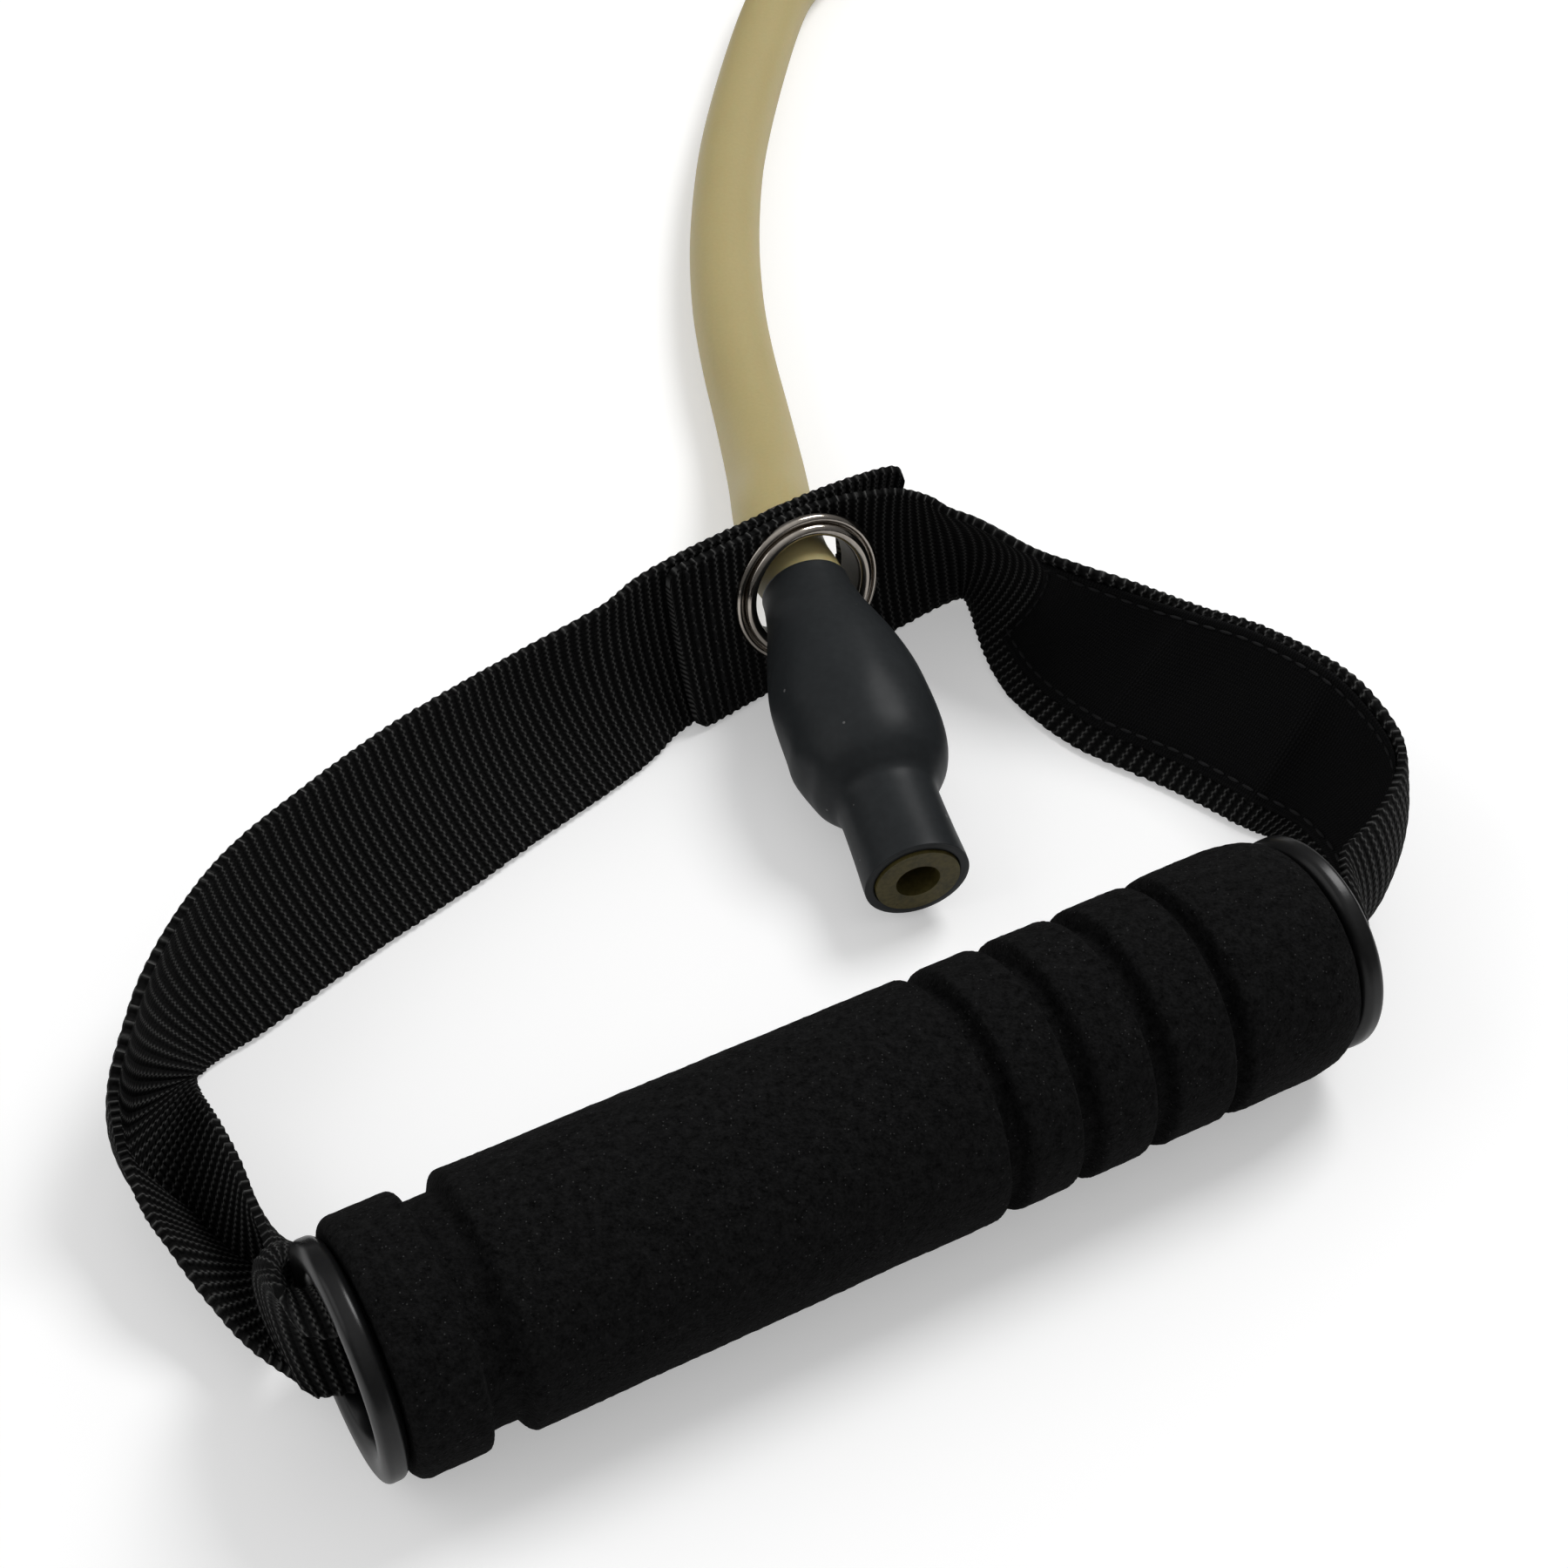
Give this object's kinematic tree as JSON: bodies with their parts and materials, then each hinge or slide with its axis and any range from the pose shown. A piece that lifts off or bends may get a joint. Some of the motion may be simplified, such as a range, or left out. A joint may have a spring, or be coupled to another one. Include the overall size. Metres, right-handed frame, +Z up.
{
  "type": "resistance band",
  "caption": "Rubber exercise tube with a webbing strap handle, foam grip, metal eyelet and moulded end sleeve at both ends, spare tube coiled and tied.",
  "frame": {"origin": "centre of the outline of the two handles, on the floor the band lies on", "axes": "+Y runs from handle A to handle B, +Z up, +X to the right seen from handle A"},
  "size_m": [0.1706, 0.6548, 0.0305],
  "materials": {
    "foam": "matt fine-grained foam",
    "core": "matt moulded",
    "ring": "satin moulded",
    "webbing": "ribbed nylon webbing",
    "label_satin": "plain woven satin",
    "thread": "polyester sewing thread",
    "nickel": "nickel plated",
    "plug": "matt moulded",
    "latex": "matt latex",
    "sleeve": "semi-matt moulded rubber",
    "tie": "matt rubber"
  },
  "bodies": {
    "tube": {"tube_run_a": "latex", "tube_coil": "latex", "tube_run_b": "latex", "coil_tie": "tie", "sleeve_a": "sleeve", "tube_end_a": "latex", "stopper_plug_a": "plug", "sleeve_b": "sleeve", "tube_end_b": "latex", "stopper_plug_b": "plug"},
    "strap_handle_a": {"strap_a": "webbing", "label_a": "label_satin", "strap_stitching_a": "thread", "eyelet_front_a": "nickel", "eyelet_back_a": "nickel"},
    "grip_a": {"foam_grip_a": "foam", "core_tube_a": "core", "end_ring_left_a": "ring", "end_ring_right_a": "ring"},
    "strap_handle_b": {"strap_b": "webbing", "label_b": "label_satin", "strap_stitching_b": "thread", "eyelet_front_b": "nickel", "eyelet_back_b": "nickel"},
    "grip_b": {"foam_grip_b": "foam", "core_tube_b": "core", "end_ring_left_b": "ring", "end_ring_right_b": "ring"}
  },
  "joints": [
    {"name": "handle_swivel_a", "type": "hinge", "parent": "tube", "child": "strap_handle_a", "pos_m": [0.00363, -0.18494, 0.0151], "axis": [0.2694, -0.9549, -0.1248], "range_deg": [-30, 30]},
    {"name": "grip_turn_a", "type": "hinge", "parent": "strap_handle_a", "child": "grip_a", "pos_m": [0.01, -0.285, 0.0152], "axis": [0.878, 0.4787, 0], "continuous": true},
    {"name": "handle_swivel_b", "type": "hinge", "parent": "tube", "child": "strap_handle_b", "pos_m": [-0.00363, 0.18494, 0.0151], "axis": [-0.2694, 0.9549, -0.1248], "range_deg": [-30, 30]},
    {"name": "grip_turn_b", "type": "hinge", "parent": "strap_handle_b", "child": "grip_b", "pos_m": [-0.01, 0.285, 0.0152], "axis": [-0.878, -0.4787, 0], "continuous": true}
  ]
}
